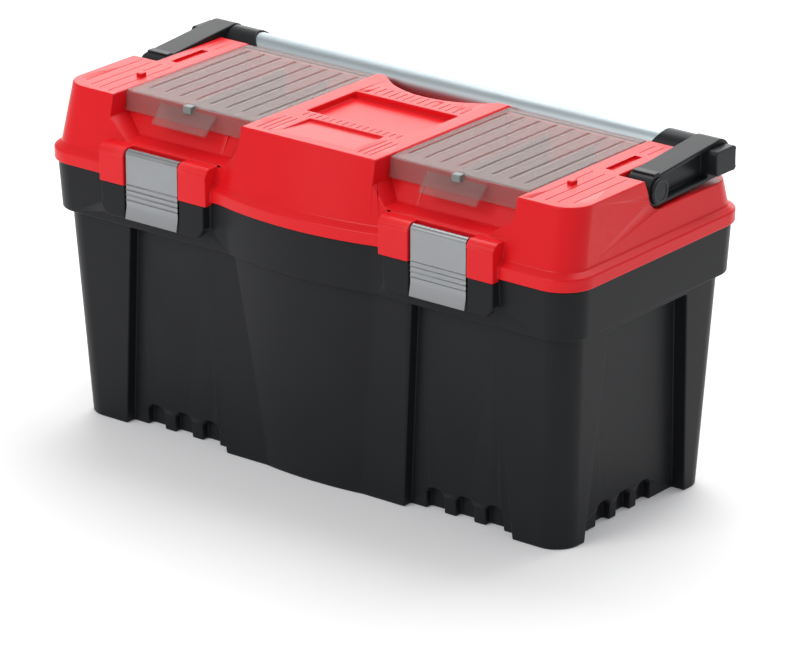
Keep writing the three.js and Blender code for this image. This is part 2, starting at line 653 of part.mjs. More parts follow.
function organizerLid() {
  const x0 = bin.inner + LID_PLATE.edge;
  const x1 = bin.outer - LID_PLATE.edge;
  const plate = block(x0, x1, -skirtOuterY, windowAxis.y, plateTopZ - LID_PLATE.thick, plateTopZ);
  const barrel = rodX(LID_AXLE.barrelR, x0, x1, windowAxis.y, windowAxis.z);
  const skirtFootZ = plateTopZ - LID_PLATE.skirt;
  const skirt = polygon([
    [-skirtOuterY, plateTopZ],
    [-skirtOuterY - LID_PLATE.rake, skirtFootZ],
    [-skirtY - LID_PLATE.rake, skirtFootZ],
    [-skirtY, plateTopZ],
  ]);
  const half = TAB.thick / 2;
  const slope = polygon([
    [-skirtY - half, tabEnd.topZ],
    [-skirtOuterY - half, tabEnd.topZ + half],
    [-tabEnd.reachY - half, tabEnd.bottomZ + half],
    [-tabEnd.reachY + half, tabEnd.bottomZ - half],
  ]);
  const outline = polygon([
    [binX - TAB.bottomHalf, tabEnd.bottomZ - half],
    [binX + TAB.bottomHalf, tabEnd.bottomZ - half],
    [binX + TAB.topHalf, plateTopZ],
    [binX - TAB.topHalf, plateTopZ],
  ]);
  const tab = alongX(slope, x0, x1).intersect(alongY(outline, -DEEP, 0));
  return without(
    union(plate, barrel, alongX(skirt, x0, x1), tab), lidAxle(LID_AXLE.pinR + GAP / 2, 0), catchBlock(GAP));
}

// ---- latches ------------------------------------------------------------------------------------------------
function latchPlate() {
  const x0 = latchX - latchHalf;
  const x1 = latchX + latchHalf;
  const kneeZ = latch.footZ + LATCH_FLARE.height;
  const backY = latch.faceY - LATCH.sheet;
  const sheet = polygon([
    [-latch.faceY, latchAxis.z],
    [-latch.faceY, kneeZ],
    [-latch.faceY - LATCH_FLARE.out, latch.footZ],
    [-backY - LATCH_FLARE.out, latch.footZ],
    [-backY, kneeZ],
    [-backY, latchAxis.z],
  ]);
  const roll = rodX(LATCH.rollR, x0, x1, latchAxis.y, latchAxis.z);
  const ridges = [];
  for (let i = 0; i < LATCH_RIDGE.count; i += 1) {
    const z = BASE_HEIGHT - LATCH_RIDGE.drop - i * LATCH_RIDGE.pitch;
    ridges.push(rodX(LATCH_RIDGE.radius, x0, x1, -latch.faceY, z, LATCH_RIDGE.sides));
  }
  const hook = block(
    latchX - LATCH_HOOK.halfX, latchX + LATCH_HOOK.halfX,
    -backY - LATCH.sheet / 2, -backY + LATCH_HOOK.reach, hookTopZ - LATCH_HOOK.height, hookTopZ);
  const bore = latchRod(LATCH_PIN.radius + GAP / 2, 1);
  return without(union(roll, alongX(sheet, x0, x1), hook, ...ridges), bore);
}

// A rod on the latches' hinge line, past the plate by the same reach at both ends.
function latchRod(radius, reach) {
  return rodX(
    radius, latchX - latchHalf - reach, latchX + latchHalf + reach, latchAxis.y, latchAxis.z, PIN_SIDES);
}

// ---- carrying handle ----------------------------------------------------------------------------------------
function armOutline(inset) {
  const hub = ARM.radius - inset;
  const rear = armRear - inset;
  const shape = new THREE.Shape();
  shape.absarc(PIVOT.y, pivotZ, hub, Math.PI / 2, Math.PI * 1.5);
  shape.absarc(tube.y, tube.z, rear, -Math.PI / 2, Math.PI / 2);
  return shape;
}

function handleArm() {
  const body = alongX(armOutline(0), arm.innerX, arm.outerX, FINE_STEPS);
  const channel = alongX(armOutline(ARM.rib), arm.outerX - ARM.channel, DEEP, FINE_STEPS);
  const hub = rodX(PIVOT.discR + ARM.rib, arm.innerX, DEEP, PIVOT.y, pivotZ);
  const rearWall = block(0, DEEP, tube.y - CAP.front + ARM.capWall, DEEP, 0, DEEP);
  const socket = rodX(TUBE.radius + GAP, 0, tube.halfX + GAP, tube.y, tube.z);
  const bore = rodX(PIVOT.pinR + GAP, 0, DEEP, PIVOT.y, pivotZ, PIN_SIDES);
  return without(body, without(channel, hub, rearWall), socket, bore);
}

function pivotPin() {
  const face = arm.outerX + GAP;
  const shank = rodX(PIVOT.pinR, arm.innerX - PIVOT.shank, face + 1, PIVOT.y, pivotZ, PIN_SIDES);
  return shank.add(rodX(PIVOT.discR, face, face + PIVOT.disc, PIVOT.y, pivotZ));
}

function gripTube() {
  return rodX(TUBE.radius, -tube.halfX, tube.halfX, tube.y, tube.z).subtract(
    rodX(TUBE.radius - TUBE.wall, -DEEP, DEEP, tube.y, tube.z));
}

// A collar round the tube beside the arm, with its inner end cut on a slant.
function handleCollar() {
  const inner = TUBE.radius + COLLAR.gap;
  const outer = inner + COLLAR.wall;
  const lowX = arm.innerX - COLLAR.length;
  const highX = lowX + COLLAR.slant;
  const end = polygon([
    [0, tube.z - 2 * outer],
    [lowX - outer / 2, tube.z - 2 * outer],
    [lowX, tube.z - outer],
    [highX, tube.z + outer],
    [highX, tube.z + 2 * outer],
    [0, tube.z + 2 * outer],
  ]);
  return without(
    rodX(outer, lowX - outer, arm.innerX - GAP, tube.y, tube.z),
    rodX(inner, 0, DEEP, tube.y, tube.z),
    alongY(end, -DEEP, DEEP),
  );
}

function endCap() {
  const shape = roundedRect(tube.y - CAP.front, tube.y + CAP.rear, tube.z - CAP.below, tube.z + CAP.above, CAP.round);
  return alongX(shape, arm.outerX + GAP, rimHalf.x - CAP.inset);
}

// ---- tray -------------------------------------------------------------------------------
// Half sizes of the tray's tub at its top: clear of the recessed panels' backs all the way down.
function tubHalf() {
  const low = bodyHalf(trayFloorZ);
  const inward = WALL + TRAY.tubClear;
  return { x: low.x - END_PANEL.depth - inward, y: low.y - PANEL.depth - inward, r: TRAY.tubR };
}

function trayTub() {
  const top = tubHalf();
  const foot = { ...grown(top, -TRAY.taper), r: TRAY.tubR };
  const rimTop = trayZ + TRAY.rim;
  const halfX = bandHalf(trayZ).x - WALL - TRAY.clear;
  const halfY = bandHalf(trayZ).y - WALL - TRAY.clear;
  const rim = alongZ(roundedRect(-halfX, halfX, -halfY, halfY, BAND.radius - TRAY.cornerStep), trayZ, rimTop);
  const tub = drafted(trayFloorZ, rimTop, foot, top);
  const hollow = drafted(trayFloorZ + TRAY.wall, rimTop + 1, grown(foot, -TRAY.wall), grown(top, -TRAY.wall));
  const wallTop = rimTop - TRAY_WALLS.drop;
  const half = TRAY.wall / 2;
  const { crossX } = TRAY_WALLS;
  const crossWalls = bothSides(block(crossX - half, crossX + half, -top.y, top.y, trayFloorZ, wallTop));
  const longWall = block(-top.x, -crossX, -half, half, trayFloorZ, wallTop);
  return union(without(rim.add(tub), hollow), union(crossWalls, longWall).intersect(tub));
}

function trayGrip() {
  const { halfX, below, thick, bar, post, round, hole } = TRAY_GRIP;
  const top = BASE_HEIGHT - below;
  const outline = roundedRect(-halfX, halfX, trayFloorZ + TRAY.wall + GAP, top, round);
  const gap = roundedRect(-halfX + post, halfX - post, top - bar - hole, top - bar, round);
  return alongY(outline, -thick / 2, thick / 2).subtract(alongY(gap, -thick, thick));
}

// A loose divider, the dividers spaced evenly between a cross wall and the tub's end.
function trayDivider(i) {
  const { crossX, dividers, end } = TRAY_WALLS;
  const top = tubHalf();
  const x = crossX + (i * (top.x - crossX)) / (dividers + 1);
  const span = top.y - TRAY.wall - end;
  const half = DIVIDER.thick / 2;
  return block(x - half, x + half, -span, span, trayFloorZ + TRAY.wall + GAP, trayZ);
}

// ---- assembly -----------------------------------------------------------------------------------------------
const toolbox = new THREE.Group();
toolbox.add(mesh("base_tub", baseTub(), FINISH.black));
toolbox.add(mesh("lid_shell", lidShell(), FINISH.red));

const SIDES = [
  ["left", mirrored],
  ["right", (body) => body],
];
for (const [side, turn] of SIDES) {
  toolbox.add(mesh(`hinge_pin_${side}`, turn(hingeRod(HINGE.pinR)), FINISH.metal));
  toolbox.add(mesh(`organizer_lid_${side}`, turn(organizerLid()), FINISH.clear));
  toolbox.add(mesh(`lid_catch_${side}`, turn(catchBlock(0)), FINISH.metal));
  toolbox.add(mesh(`organizer_pin_${side}`, turn(lidAxle(LID_AXLE.pinR, LID_AXLE.seat - GAP)), FINISH.metal));
  toolbox.add(...binDividers(side, turn));
  toolbox.add(mesh(`latch_plate_${side}`, turn(latchPlate()), FINISH.metal));
  toolbox.add(mesh(`latch_pin_${side}`, turn(latchRod(LATCH_PIN.radius, LATCH_PIN.bearing - GAP)), FINISH.metal));
  toolbox.add(mesh(`handle_arm_${side}`, turn(handleArm()), FINISH.black));
  toolbox.add(mesh(`handle_collar_${side}`, turn(handleCollar()), FINISH.black));
  toolbox.add(mesh(`handle_end_cap_${side}`, turn(endCap()), FINISH.black));
  toolbox.add(mesh(`handle_pivot_${side}`, turn(pivotPin()), FINISH.black));
}
toolbox.add(mesh("grip_tube", gripTube(), FINISH.alu));
toolbox.add(mesh("tray_tub", trayTub(), FINISH.tray));
toolbox.add(mesh("tray_grip", trayGrip(), FINISH.tray));
for (let i = 1; i <= TRAY_WALLS.dividers; i += 1) {
  toolbox.add(mesh(`tray_divider_${i}`, trayDivider(i), FINISH.tray));
}

export default toolbox;
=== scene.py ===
"""The looks of a large toolbox: satin moulded polymers, smoky clear organizer lids and satin metal."""

import json
import math

import bmesh
import bpy
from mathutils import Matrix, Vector


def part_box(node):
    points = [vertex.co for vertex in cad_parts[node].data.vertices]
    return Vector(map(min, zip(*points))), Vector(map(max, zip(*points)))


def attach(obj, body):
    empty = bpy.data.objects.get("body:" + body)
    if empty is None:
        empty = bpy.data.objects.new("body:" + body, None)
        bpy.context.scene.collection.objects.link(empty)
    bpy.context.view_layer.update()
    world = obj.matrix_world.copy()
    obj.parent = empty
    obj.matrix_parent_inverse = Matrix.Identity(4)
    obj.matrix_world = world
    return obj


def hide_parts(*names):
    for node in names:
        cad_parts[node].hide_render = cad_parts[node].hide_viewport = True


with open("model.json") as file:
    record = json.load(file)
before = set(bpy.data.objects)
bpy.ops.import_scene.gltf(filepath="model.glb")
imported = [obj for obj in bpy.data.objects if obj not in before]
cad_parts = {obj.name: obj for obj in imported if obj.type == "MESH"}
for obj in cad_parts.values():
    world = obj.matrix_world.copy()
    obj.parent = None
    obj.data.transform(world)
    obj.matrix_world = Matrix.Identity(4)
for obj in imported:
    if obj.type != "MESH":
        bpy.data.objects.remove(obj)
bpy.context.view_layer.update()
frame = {"nodes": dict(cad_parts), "record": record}

MM = 0.001
SIDES = {"left": -1, "right": 1}
RECORD = frame["record"]
BODY_OF = {node: body for body, nodes in RECORD["behaviour"]["bodies"].items() for node in nodes}


# ---- helpers -------------------------------------------------------------------------------------
def srgb(text):
    """A hex colour as the linear numbers that shaders take."""
    parts = [int(text[i : i + 2], 16) / 255 for i in (1, 3, 5)]
    linear = [c / 12.92 if c <= 0.04045 else ((c + 0.055) / 1.055) ** 2.4 for c in parts]
    return (*linear, 1.0)


def add(tree, kind, inputs=None, **settings):
    """Adds a node with its settings; inputs maps a socket to a value or to another node's output."""
    made = tree.nodes.new(kind)
    for name, value in settings.items():
        setattr(made, name, value)
    for key, value in (inputs or {}).items():
        if isinstance(value, bpy.types.NodeSocket):
            tree.links.new(value, made.inputs[key])
        else:
            made.inputs[key].default_value = value
    return made


def link_object(name, mesh):
    """A new object in the scene, at the origin."""
    piece = bpy.data.objects.new(name, mesh)
    bpy.context.scene.collection.objects.link(piece)
    return piece


def bake(piece):
    """Turns a piece with live modifiers into one plain mesh."""
    graph = bpy.context.evaluated_depsgraph_get()
    mesh = bpy.data.meshes.new_from_object(piece.evaluated_get(graph), depsgraph=graph)
    old = piece.data
    piece.modifiers.clear()
    piece.data = mesh
    bpy.data.meshes.remove(old)
    return piece


def smooth(piece, degrees=32):
    """Smooth shading up to an angle, led by the large flat faces."""
    for face in piece.data.polygons:
        face.use_smooth = True
    piece.data.set_sharp_from_angle(angle=math.radians(degrees))
    weighted = piece.modifiers.new("lead_by_area", "WEIGHTED_NORMAL")
    weighted.keep_sharp = True
    return bake(piece)


def fill_mesh(name, bm):
    """A new piece from a bmesh whose faces are turned outwards."""
    bmesh.ops.recalc_face_normals(bm, faces=bm.faces)
    mesh = bpy.data.meshes.new(name)
    bm.to_mesh(mesh)
    bm.free()
    return link_object(name, mesh)


def cad_copy(node, name, collapse=0.2, flat=0.6):
    """A CAD node's mesh with its doubles merged, its slivers collapsed and its flat faces joined up."""
    bm = bmesh.new()
    bm.from_mesh(frame["nodes"][node].data)
    bmesh.ops.remove_doubles(bm, verts=bm.verts, dist=0.001 * MM)
    bmesh.ops.dissolve_degenerate(bm, dist=collapse * MM, edges=bm.edges)
    bmesh.ops.dissolve_limit(bm, angle_limit=math.radians(flat), verts=bm.verts, edges=bm.edges)
    bmesh.ops.triangulate(bm, faces=[face for face in bm.faces if len(face.verts) > 4])
    mesh = bpy.data.meshes.new(name)
    bm.to_mesh(mesh)
    bm.free()
    return link_object(name, mesh)


def round_edges(piece, width, segments=3, angle=28):
    """Rounds every sharp edge that is longer than the rounding is wide, as a mould or a press does."""
    bm = bmesh.new()
    bm.from_mesh(piece.data)
    weight = bm.edges.layers.float.new("bevel_weight_edge")
    for edge in bm.edges:
        sharp = edge.is_manifold and edge.calc_face_angle() > math.radians(angle)
        edge[weight] = 1.0 if sharp and edge.calc_length() > 0.9 * width * MM else 0.0
    bm.to_mesh(piece.data)
    bm.free()
    bevel = piece.modifiers.new("round", "BEVEL")
    bevel.width = width * MM
    bevel.segments = segments
    bevel.limit_method = "WEIGHT"
    bevel.use_clamp_overlap = False
    bevel.miter_outer = "MITER_ARC"
    return bake(piece)


def prism(name, outline, low, high, axis="x"):
    """A closed prism: an outline in mm in the plane across X or Z, run from low to high along that axis."""
    bm = bmesh.new()
    place = {"x": lambda a, b, c: (c, a, b), "z": lambda a, b, c: (a, b, c)}[axis]
    rings = [[bm.verts.new(Vector(place(a, b, c)) * MM) for a, b in outline] for c in (low, high)]
    bm.faces.new(rings[0])
    bm.faces.new(rings[1])
    count = len(outline)
    for i in range(count):
        j = (i + 1) % count
        bm.faces.new((rings[0][i], rings[0][j], rings[1][j], rings[1][i]))
    return fill_mesh(name, bm)


def lathe_x(name, profile, centre, side=1, turns=96):
    """A round piece about a line along X; the profile holds (x, radius) in mm and closes on itself."""
    bm = bmesh.new()
    rings = []
    for i in range(turns):
        angle = 2 * math.pi * i / turns
        rings.append([
            bm.verts.new(Vector((
                side * x, centre[0] + radius * math.cos(angle), centre[1] + radius * math.sin(angle))) * MM)
            for x, radius in profile])
    count = len(profile)
    for i in range(turns):
        here, there = rings[i], rings[(i + 1) % turns]
        for j in range(count):
            k = (j + 1) % count
            bm.faces.new((here[j], here[k], there[k], there[j]))
    bmesh.ops.remove_doubles(bm, verts=bm.verts, dist=0.001 * MM)
    return fill_mesh(name, bm)


def block(name, low, high, width):
    """A small box with rounded edges; low and high are its corners in mm."""
    corners = [(low[0], low[1]), (high[0], low[1]), (high[0], high[1]), (low[0], high[1])]
    return round_edges(prism(name, corners, low[2], high[2], "z"), width)


def settle(piece, node, material, replaces=True):
    """Gives the piece its material and the body of a CAD node, and hides that node when the piece stands for
    it.
    """
    piece.data.materials.clear()
    piece.data.materials.append(material)
    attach(piece, BODY_OF[node])
    if replaces:
        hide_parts(node)
    return piece


def node_box(node):
    """A node's lowest and highest corners in mm."""
    low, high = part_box(node)
    return low / MM, high / MM


def across(side, near, far):
    """The two X ends, in rising order, of a stretch from near to far on one side of the middle."""
    return sorted((side * near, side * far))


# ---- materials -----------------------------------------------------------------------------------
def per_metre(size_mm):
    """The noise scale whose features are about this size."""
    return 1 / (size_mm * MM)


def moulded(name, deep, pale, worn_and_highlight, roughness, specular=0.5):
    """A moulded polymer: flow marks in its colour, edges lightened by wear and by a painted highlight, and a
    fine spark-eroded grain.
    """
    # The mould's grain is about 0.1 mm; it is drawn at 0.9 mm, the finest that still shows.
    flow_size, edge_patch_size, grain_size, grain_depth = 70, 9, 0.9, 0.015
    made = bpy.data.materials.new(name)
    made.use_nodes = True
    tree = made.node_tree
    tree.nodes.clear()
    place = add(tree, "ShaderNodeTexCoord").outputs["Object"]
    flow = add(tree, "ShaderNodeTexNoise", {
        "Vector": place, "Scale": per_metre(flow_size), "Detail": 3.0})
    body = add(tree, "ShaderNodeMix", {
        "Factor": flow.outputs["Fac"], "A": srgb(deep), "B": srgb(pale)}, data_type="RGBA")
    # Handling wears the edges and a painted highlight lies along them: both lift their colour a little.
    point = add(tree, "ShaderNodeNewGeometry").outputs["Pointiness"]
    edge = add(tree, "ShaderNodeMapRange", {
        "Value": point, "From Min": 0.54, "From Max": 0.62, "To Max": 0.45})
    edge_patches = add(tree, "ShaderNodeTexNoise", {
        "Vector": place, "Scale": per_metre(edge_patch_size), "Detail": 4.0})
    rubbed_and_highlight = add(tree, "ShaderNodeMath", {
        0: edge.outputs["Result"], 1: edge_patches.outputs["Fac"]}, operation="MULTIPLY")
    # Wear and a painted highlight: the edges take the lighter edge tone in patches.
    colour = add(tree, "ShaderNodeMix", {
        "Factor": rubbed_and_highlight.outputs[0], "A": body.outputs[2], "B": srgb(worn_and_highlight)}, data_type="RGBA")
    gloss = add(tree, "ShaderNodeMapRange", {
        "Value": flow.outputs["Fac"], "To Min": roughness[0], "To Max": roughness[1]})
    sparks = add(tree, "ShaderNodeTexNoise", {
        "Vector": place, "Scale": per_metre(grain_size), "Detail": 2.0})
    bump = add(tree, "ShaderNodeBump", {
        "Height": sparks.outputs["Fac"], "Strength": 0.35, "Distance": grain_depth * MM})
    shader = add(tree, "ShaderNodeBsdfPrincipled", {
        "Base Color": colour.outputs[2], "Roughness": gloss.outputs["Result"], "IOR": 1.49,
        "Specular IOR Level": specular, "Normal": bump.outputs["Normal"]})
    add(tree, "ShaderNodeOutputMaterial", {"Surface": shader.outputs["BSDF"]})
    return made


def smoky_polycarbonate():
    """Smoke-tinted polycarbonate: more opaque on faces that point up, as a painted reflection of the glare on
    the top plate; clearer on the skirt and the tab.
    """
    haze_size, ripple_size, ripple_depth = 45, 25, 0.2
    made = bpy.data.materials.new("smoky_clear_polycarbonate")
    made.use_nodes = True
    tree = made.node_tree
    tree.nodes.clear()
    place = add(tree, "ShaderNodeTexCoord").outputs["Object"]
    haze = add(tree, "ShaderNodeTexNoise", {
        "Vector": place, "Scale": per_metre(haze_size), "Detail": 3.0})
    tint = add(tree, "ShaderNodeMix", {
        "Factor": haze.outputs["Fac"], "A": srgb("#88726F"), "B": srgb("#98827F")}, data_type="RGBA")
    gloss = add(tree, "ShaderNodeMapRange", {"Value": haze.outputs["Fac"], "To Min": 0.2, "To Max": 0.3})
    ripple = add(tree, "ShaderNodeTexNoise", {
        "Vector": place, "Scale": per_metre(ripple_size), "Detail": 1.0})
    bump = add(tree, "ShaderNodeBump", {
        "Height": ripple.outputs["Fac"], "Strength": 0.2, "Distance": ripple_depth * MM})
    # Painted reflection: faces that point up are made more opaque, so the grey tint stands in for the glare
    # on the top plate.
    normal = add(tree, "ShaderNodeTexCoord").outputs["Normal"]
    facing = add(tree, "ShaderNodeSeparateXYZ", {"Vector": normal})
    painted_glare_opacity = add(tree, "ShaderNodeMapRange", {
        "Value": facing.outputs["Z"], "From Min": 0.8, "From Max": 0.95, "To Min": 0.28, "To Max": 0.44})
    shader = add(tree, "ShaderNodeBsdfPrincipled", {
        "Base Color": tint.outputs[2], "Roughness": gloss.outputs["Result"], "IOR": 1.58,
        "Alpha": painted_glare_opacity.outputs["Result"], "Specular IOR Level": 0.22,
        "Normal": bump.outputs["Normal"]})
    add(tree, "ShaderNodeOutputMaterial", {"Surface": shader.outputs["BSDF"]})
    return made


def satin_metal(name, deep, pale, roughness, streak):
    """A satin metal with fine drawn streaks; streak is the size in mm of a streak along X, Y and Z."""
    cloud_size, streak_depth = 40, 0.02
    made = bpy.data.materials.new(name)
    made.use_nodes = True
    tree = made.node_tree
    tree.nodes.clear()
    place = add(tree, "ShaderNodeTexCoord").outputs["Object"]
    drawn = add(tree, "ShaderNodeMapping", {
        "Vector": place, "Scale": tuple(per_metre(size) for size in streak)}, vector_type="POINT")
    lines = add(tree, "ShaderNodeTexNoise", {
        "Vector": drawn.outputs["Vector"], "Scale": 1.0, "Detail": 3.0})
    clouds = add(tree, "ShaderNodeTexNoise", {
        "Vector": place, "Scale": per_metre(cloud_size), "Detail": 2.0})
    colour = add(tree, "ShaderNodeMix", {
        "Factor": clouds.outputs["Fac"], "A": srgb(deep), "B": srgb(pale)}, data_type="RGBA")
    gloss = add(tree, "ShaderNodeMapRange", {
        "Value": lines.outputs["Fac"], "From Min": 0.3, "From Max": 0.7,
        "To Min": roughness[0], "To Max": roughness[1]})
    bump = add(tree, "ShaderNodeBump", {
        "Height": lines.outputs["Fac"], "Strength": 0.3, "Distance": streak_depth * MM})
    shader = add(tree, "ShaderNodeBsdfPrincipled", {
        "Base Color": colour.outputs[2], "Metallic": 1.0, "Roughness": gloss.outputs["Result"],
        "Normal": bump.outputs["Normal"]})
    add(tree, "ShaderNodeOutputMaterial", {"Surface": shader.outputs["BSDF"]})
    return made


# Red polypropylene, injection moulded: strong body colour under a broad soft sheen.
RED = moulded("moulded_red_polypropylene", "#D8141C", "#E01A22", "#F0605F", (0.26, 0.36), 0.22)
# Black polypropylene, moulded: very dark, slightly blue, with a wide dull highlight.
BLACK = moulded("moulded_black_polypropylene", "#1A1B1D", "#1F2022", "#45474A", (0.34, 0.44), 0.14)
# Glass-filled polyamide of the handle: a greyer black with a matt sheen.
HANDLE = moulded("moulded_black_polyamide", "#1F2123", "#25272A", "#55585B", (0.3, 0.4), 0.18)
# Dark grey polypropylene of the tray and the bin dividers.
TRAY = moulded("moulded_grey_polypropylene", "#2C2D30", "#333437", "#55575A", (0.45, 0.55))
# Light grey acetal of the catches: waxy, plain.
CATCH = moulded("moulded_grey_acetal", "#6C7472", "#7C8482", "#A6AEAC", (0.35, 0.45))
CLEAR = smoky_polycarbonate()
# Rolled aluminium sheet of the latches: streaks run along the roll, across the latch.
LATCH = satin_metal("satin_rolled_aluminium", "#929496", "#9C9EA0", (0.32, 0.42), (30, 0.8, 0.8))
# Clear-anodised drawn tube of the grip: a cool tint and long streaks along the tube.
TUBE = satin_metal("satin_anodised_aluminium", "#A8B2B6", "#B2BCC0", (0.4, 0.5), (60, 1.2, 1.2))
# Drawn steel wire of the pins.
STEEL = satin_metal("drawn_steel_wire", "#9A9A9C", "#A9A9AB", (0.25, 0.35), (20, 0.6, 0.6))


# ---- rows of grooves -----------------------------------------------------------------------------
def groove_tree():
    """Cuts a row of grooves of one Size into a skin: Count of them, the first at Start, then by Step."""
    tree = bpy.data.node_groups.new("groove_row", "GeometryNodeTree")
    tree.interface.new_socket("Skin", in_out="OUTPUT", socket_type="NodeSocketGeometry")
    kinds = {"Skin": "Geometry", "Start": "Vector", "Step": "Vector", "Count": "Int", "Size": "Vector",
             "Finish": "Material"}
    for label, kind in kinds.items():
        tree.interface.new_socket(label, in_out="INPUT", socket_type="NodeSocket" + kind)
    given = add(tree, "NodeGroupInput").outputs
    line = add(tree, "GeometryNodeMeshLine", {
        "Count": given["Count"], "Start Location": given["Start"], "Offset": given["Step"]}, mode="OFFSET")
    cutter = add(tree, "GeometryNodeMeshCube", {"Size": given["Size"]})
    row = add(tree, "GeometryNodeInstanceOnPoints", {
        "Points": line.outputs["Mesh"], "Instance": cutter.outputs["Mesh"]})
    cut = add(tree, "GeometryNodeMeshBoolean", {
        "Mesh 1": given["Skin"], "Mesh 2": row.outputs["Instances"]},
        operation="DIFFERENCE", solver="MANIFOLD")
    real = add(tree, "GeometryNodeRealizeInstances", {"Geometry": cut.outputs["Mesh"]})
    dressed = add(tree, "GeometryNodeSetMaterial", {
        "Geometry": real.outputs["Geometry"], "Material": given["Finish"]})
    add(tree, "NodeGroupOutput", {"Skin": dressed.outputs["Geometry"]})
    return tree


GROOVES = groove_tree()


def cut_grooves(piece, finish, rows):
    """Cuts rows of grooves, each given by start, step and size in mm and a count."""
    names = {item.name: item.identifier for item in GROOVES.interface.items_tree if item.in_out == "INPUT"}
    for start, step, count, size in rows:
        row = piece.modifiers.new("grooves", "NODES")
        row.node_group = GROOVES
        row[names["Start"]] = [v * MM for v in start]
        row[names["Step"]] = [v * MM for v in step]
        row[names["Count"]] = count
        row[names["Size"]] = [v * MM for v in size]
        row[names["Finish"]] = finish
    return bake(piece)


# ---- base, lid and tray --------------------------------------------------------------------------
def base():
    """The tub with its rim, latch pads and hinge knuckles."""
    piece = round_edges(cad_copy("base_tub", "base_body"), 1.3)
    settle(smooth(piece), "base_tub", BLACK)


DECK_Z = node_box("lid_shell")[1].z  # top of the centre deck
STRIP_DROP = 1.6  # the side strips lie this far under the centre deck


def strip_grooves(side):
    """Four long fine grooves, two short ones and one deep slot in the strip beside an organizer lid."""
    top = DECK_Z - STRIP_DROP
    width, height = 0.9, 1.6  # of a fine groove's cutter, whose lower half goes into the strip
    fronts = {237: -107, 249.5: -104, 261: -102, 273: -95}  # each long groove's X and its front end
    rear = -18
    rows = []
    for x, front in fronts.items():
        length = rear - front
        rows.append(((side * x, front + length / 2, top), (0, 1, 0), 1, (width, length, height)))
    slot_x, slot_y, slot_size = 245, 16, (8, 44, 4.8)
    rows.append(((side * slot_x, slot_y, top), (0, 1, 0), 1, slot_size))
    first_x, pitch, middle_y, length = 240, 9, 58, 24
    rows.append(((side * first_x, middle_y, top), (side * pitch, 0, 0), 2, (width, length, height)))
    return rows


def deck_grooves():
    """Rows of grooves in the centre deck: between its two pockets, behind them and beside the front one."""
    width, height = 1.1, 1.8
    count = 15
    rows = []
    for middle_y, pitch, length in ((-52, 7.5, 10), (39, 8, 18)):
        first_x = -pitch * (count - 1) / 2
        rows.append(((first_x, middle_y, DECK_Z), (pitch, 0, 0), count, (width, length, height)))
    first_x, pitch, middle_y, length = 50, 6.5, -87, 40
    for side in SIDES.values():
        rows.append(((side * first_x, middle_y, DECK_Z), (side * pitch, 0, 0), 3, (width, length, height)))
    return rows


def lid():
    """The lid with its two bins and its centre deck, grooved."""
    rows = deck_grooves()
    for side in SIDES.values():
        rows += strip_grooves(side)
    piece = cut_grooves(round_edges(cad_copy("lid_shell", "lid_body"), 1.1), RED, rows)
    settle(smooth(piece), "lid_shell", RED)


def lid_details(name, side):
    """The nub beside an organizer lid and the small rib on the slope in front of it."""
    root, rise = 4, 1.6  # how far the nub goes under the deck's height and over it
    low_x, high_x = across(side, 239, 245)
    nub = block(f"strip_nub_{name}", (low_x, -59, DECK_Z - root), (high_x, -51, DECK_Z + rise), 1.0)
    settle(smooth(nub), "lid_shell", RED, replaces=False)
    outline = [(-103, 279), (-92, 279), (-91, 297), (-93, 297)]
    rib = round_edges(prism(f"slope_rib_{name}", outline, *across(side, 108, 112)), 0.6, 2)
    settle(smooth(rib), "lid_shell", RED, replaces=False)


def tray():
    """The lift-out tray, its bail and its two loose dividers."""
    for node in ("tray_tub", "tray_grip", "tray_divider_1", "tray_divider_2"):
        settle(smooth(round_edges(cad_copy(node, node + "_moulded"), 0.6, 2)), node, TRAY)


# ---- organizer lids ------------------------------------------------------------------------------
def organizer_lid(name, side):
    """The clear lid over a bin, with its row of wide grooves, and its catch."""
    node = "organizer_lid_" + name
    top = node_box(node)[1].z
    first_x, pitch, count, front, rear = 84.6, 18.1, 8, -79, 62
    size = (3.4, rear - front, 2.4)
    rows = [((side * first_x, (front + rear) / 2, top), (side * pitch, 0, 0), count, size)]
    piece = round_edges(cad_copy(node, f"organizer_window_{name}"), 0.5, 2)
    settle(smooth(cut_grooves(piece, CLEAR, rows)), node, CLEAR)
    catch = round_edges(cad_copy("lid_catch_" + name, f"catch_block_{name}"), 0.8)
    settle(smooth(catch), "lid_catch_" + name, CATCH)


# ---- latches -------------------------------------------------------------------------------------
def latch(name):
    """The bent metal plate of a latch, with a small rounding as a sheared sheet has."""
    node = "latch_plate_" + name
    piece = round_edges(cad_copy(node, f"latch_sheet_{name}"), 0.35, 2)
    settle(smooth(piece, 36), node, LATCH)


# ---- handle --------------------------------------------------------------------------------------
def handle(name, side):
    """The four mouldings at one end of the grip, with a bar on the arm and a ring on the pivot."""
    roundings = {"handle_arm_": 1.2, "handle_collar_": 0.6, "handle_end_cap_": 1.0, "handle_pivot_": 0.7}
    for stem, width in roundings.items():
        piece = round_edges(cad_copy(stem + name, stem + name + "_moulded"), width)
        settle(smooth(piece), stem + name, HANDLE)

    # The bar stays low and narrow enough to turn inside the arm's room in the lid.
    low_x, high_x = across(side, 262, 286)
    bar = block(f"arm_bar_{name}", (low_x, 4, 312), (high_x, 12, 318.2), 0.9)
    settle(smooth(bar), "handle_arm_" + name, HANDLE, replaces=False)

    # A shallow ring stands on the pivot's disc.
    disc_low, disc_high = node_box("handle_pivot_" + name)
    face = max(abs(disc_low.x), abs(disc_high.x))
    centre = ((disc_low.y + disc_high.y) / 2, (disc_low.z + disc_high.z) / 2)
    profile = [(face - 0.5, 8), (face + 0.5, 8.4), (face + 0.5, 10), (face - 0.5, 10.4)]
    ring = lathe_x(f"pivot_ring_{name}", profile, centre, side)
    settle(smooth(ring), "handle_pivot_" + name, HANDLE, replaces=False)


